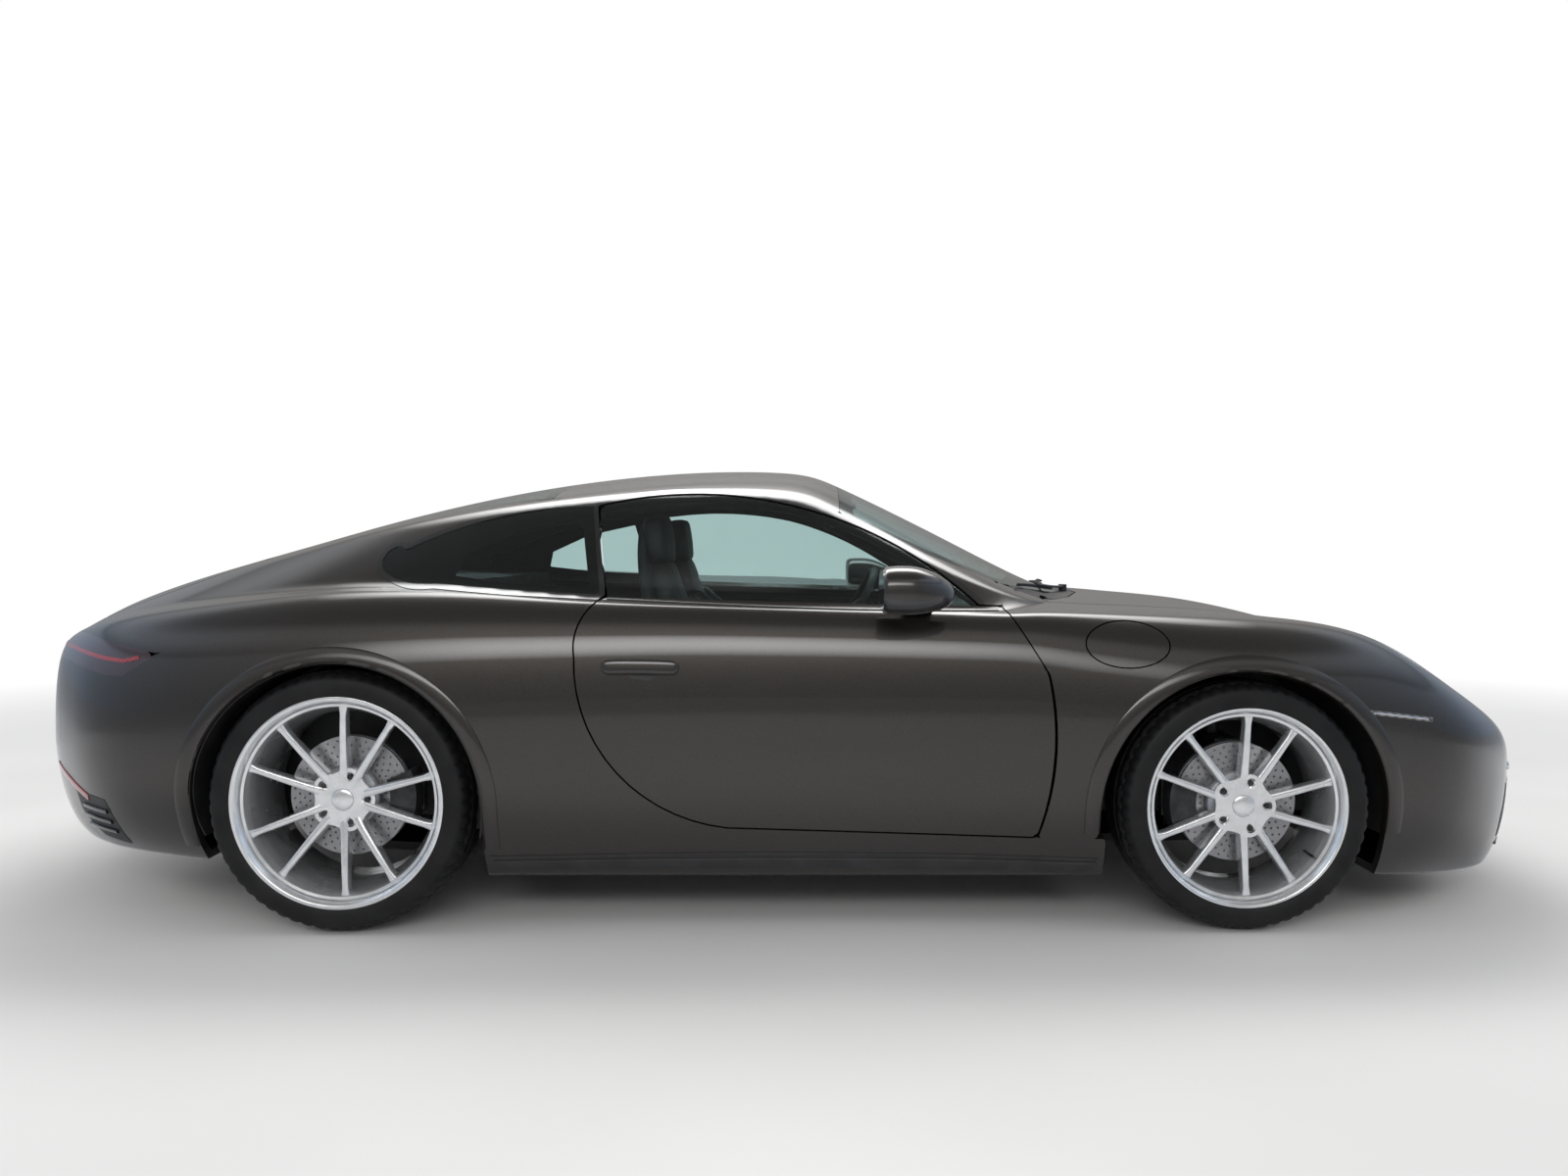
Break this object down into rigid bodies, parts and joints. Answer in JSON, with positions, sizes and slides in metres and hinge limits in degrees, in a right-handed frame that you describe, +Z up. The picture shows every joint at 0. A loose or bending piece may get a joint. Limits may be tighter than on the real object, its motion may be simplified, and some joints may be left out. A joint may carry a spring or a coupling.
{
  "type": "coupe car",
  "caption": "Low two-door rear-engined coupe with a fastback roof, ten-spoke wheels, opening doors, lids and fuel flap, and steered front wheels",
  "frame": {"origin": "on the ground under mid-length, on the centreline", "axes": "+X forward, +Y to the left of the car, +Z up"},
  "size_m": [4.518, 2.0424, 1.2902],
  "materials": {
    "body_paint": "dark warm grey metallic with a clear coat",
    "black_trim": "fine-grained black",
    "glass": "clear, faintly tinted",
    "lamp_clear": "clear lens over silver bowls",
    "lamp_red": "dark red lens",
    "rim_silver": "bright silver lacquer",
    "tyre": "matt black",
    "disc_iron": "turned",
    "running_gear": "satin black",
    "engine": "cast",
    "seat_leather": "black",
    "cabin_trim": "black"
  },
  "bodies": {
    "body": {"side_frame_left": "body_paint", "side_frame_right": "body_paint", "roof_panel": "body_paint", "floor_pan": "running_gear", "cowl_panel": "black_trim", "windscreen": "glass", "rear_window": "glass", "quarter_glass_left": "glass", "quarter_glass_right": "glass", "front_fender_left": "body_paint", "front_fender_right": "body_paint", "front_bumper": "body_paint", "rear_bumper": "body_paint", "tail_lamp_bar": "lamp_red", "headlamp_left": "lamp_clear", "headlamp_right": "lamp_clear", "front_axle": "running_gear", "front_struts": "running_gear", "rear_axle": "running_gear", "front_liners": "black_trim", "rear_liners": "black_trim", "luggage_tub": "cabin_trim", "front_tray": "black_trim", "rear_tray": "black_trim", "firewall": "running_gear", "rear_bulkhead": "cabin_trim", "engine_block": "engine", "seat_left": "seat_leather", "seat_right": "seat_leather", "rear_bench": "seat_leather", "dashboard": "cabin_trim"},
    "steering_wheel": {"steering_wheel": "cabin_trim"},
    "front_lid": {"front_lid": "body_paint"},
    "engine_lid": {"engine_lid": "body_paint"},
    "fuel_flap": {"fuel_flap": "body_paint"},
    "door_left": {"door_left": "body_paint", "door_glass_left": "glass", "door_mirror_left": "body_paint"},
    "front_knuckle_left": {"front_knuckle_left": "running_gear"},
    "wheel_front_left": {"rim_front_left": "rim_silver", "tyre_front_left": "tyre", "brake_disc_front_left": "disc_iron"},
    "wheel_rear_left": {"rim_rear_left": "rim_silver", "tyre_rear_left": "tyre", "brake_disc_rear_left": "disc_iron"},
    "door_right": {"door_right": "body_paint", "door_glass_right": "glass", "door_mirror_right": "body_paint"},
    "front_knuckle_right": {"front_knuckle_right": "running_gear"},
    "wheel_front_right": {"rim_front_right": "rim_silver", "tyre_front_right": "tyre", "brake_disc_front_right": "disc_iron"},
    "wheel_rear_right": {"rim_rear_right": "rim_silver", "tyre_rear_right": "tyre", "brake_disc_rear_right": "disc_iron"}
  },
  "joints": [
    {"name": "steering_turn", "type": "hinge", "parent": "body", "child": "steering_wheel", "pos_m": [0.262, 0.37, 0.792], "axis": [-0.9135, 0, 0.4067], "range_deg": [-450, 450]},
    {"name": "door_left_swing", "type": "hinge", "parent": "body", "child": "door_left", "pos_m": [0.722, 0.858, 0.495], "axis": [0, 0, -1], "range_deg": [0, 65]},
    {"name": "steer_left", "type": "hinge", "parent": "body", "child": "front_knuckle_left", "pos_m": [1.2545, 0.69, 0.34], "axis": [0, 0, 1], "range_deg": [-32, 32]},
    {"name": "spin_front_left", "type": "hinge", "parent": "front_knuckle_left", "child": "wheel_front_left", "pos_m": [1.2545, 0.77, 0.34], "axis": [0, 1, 0], "continuous": true},
    {"name": "spin_rear_left", "type": "hinge", "parent": "body", "child": "wheel_rear_left", "pos_m": [-1.1955, 0.76, 0.358], "axis": [0, 1, 0], "continuous": true},
    {"name": "door_right_swing", "type": "hinge", "parent": "body", "child": "door_right", "pos_m": [0.722, -0.858, 0.495], "axis": [0, 0, 1], "range_deg": [0, 65]},
    {"name": "steer_right", "type": "hinge", "parent": "body", "child": "front_knuckle_right", "pos_m": [1.2545, -0.69, 0.34], "axis": [0, 0, 1], "range_deg": [-32, 32]},
    {"name": "spin_front_right", "type": "hinge", "parent": "front_knuckle_right", "child": "wheel_front_right", "pos_m": [1.2545, -0.77, 0.34], "axis": [0, 1, 0], "continuous": true},
    {"name": "spin_rear_right", "type": "hinge", "parent": "body", "child": "wheel_rear_right", "pos_m": [-1.1955, -0.76, 0.358], "axis": [0, 1, 0], "continuous": true},
    {"name": "front_lid_lift", "type": "hinge", "parent": "body", "child": "front_lid", "pos_m": [0.768, 0, 0.879], "axis": [0, -1, 0], "range_deg": [0, 62]},
    {"name": "engine_lid_lift", "type": "hinge", "parent": "body", "child": "engine_lid", "pos_m": [-1.582, 0, 0.99495], "axis": [0, 1, 0], "range_deg": [0, 50]},
    {"name": "fuel_flap_swing", "type": "hinge", "parent": "body", "child": "fuel_flap", "pos_m": [1.033, -0.84647, 0.77768], "axis": [0, 0.5281, 0.8492], "range_deg": [0, 75]}
  ],
  "couplings": [
    {"joint": "steer_left", "follows": "steering_turn", "ratio": 0.071111},
    {"joint": "steer_right", "follows": "steering_turn", "ratio": 0.071111}
  ]
}
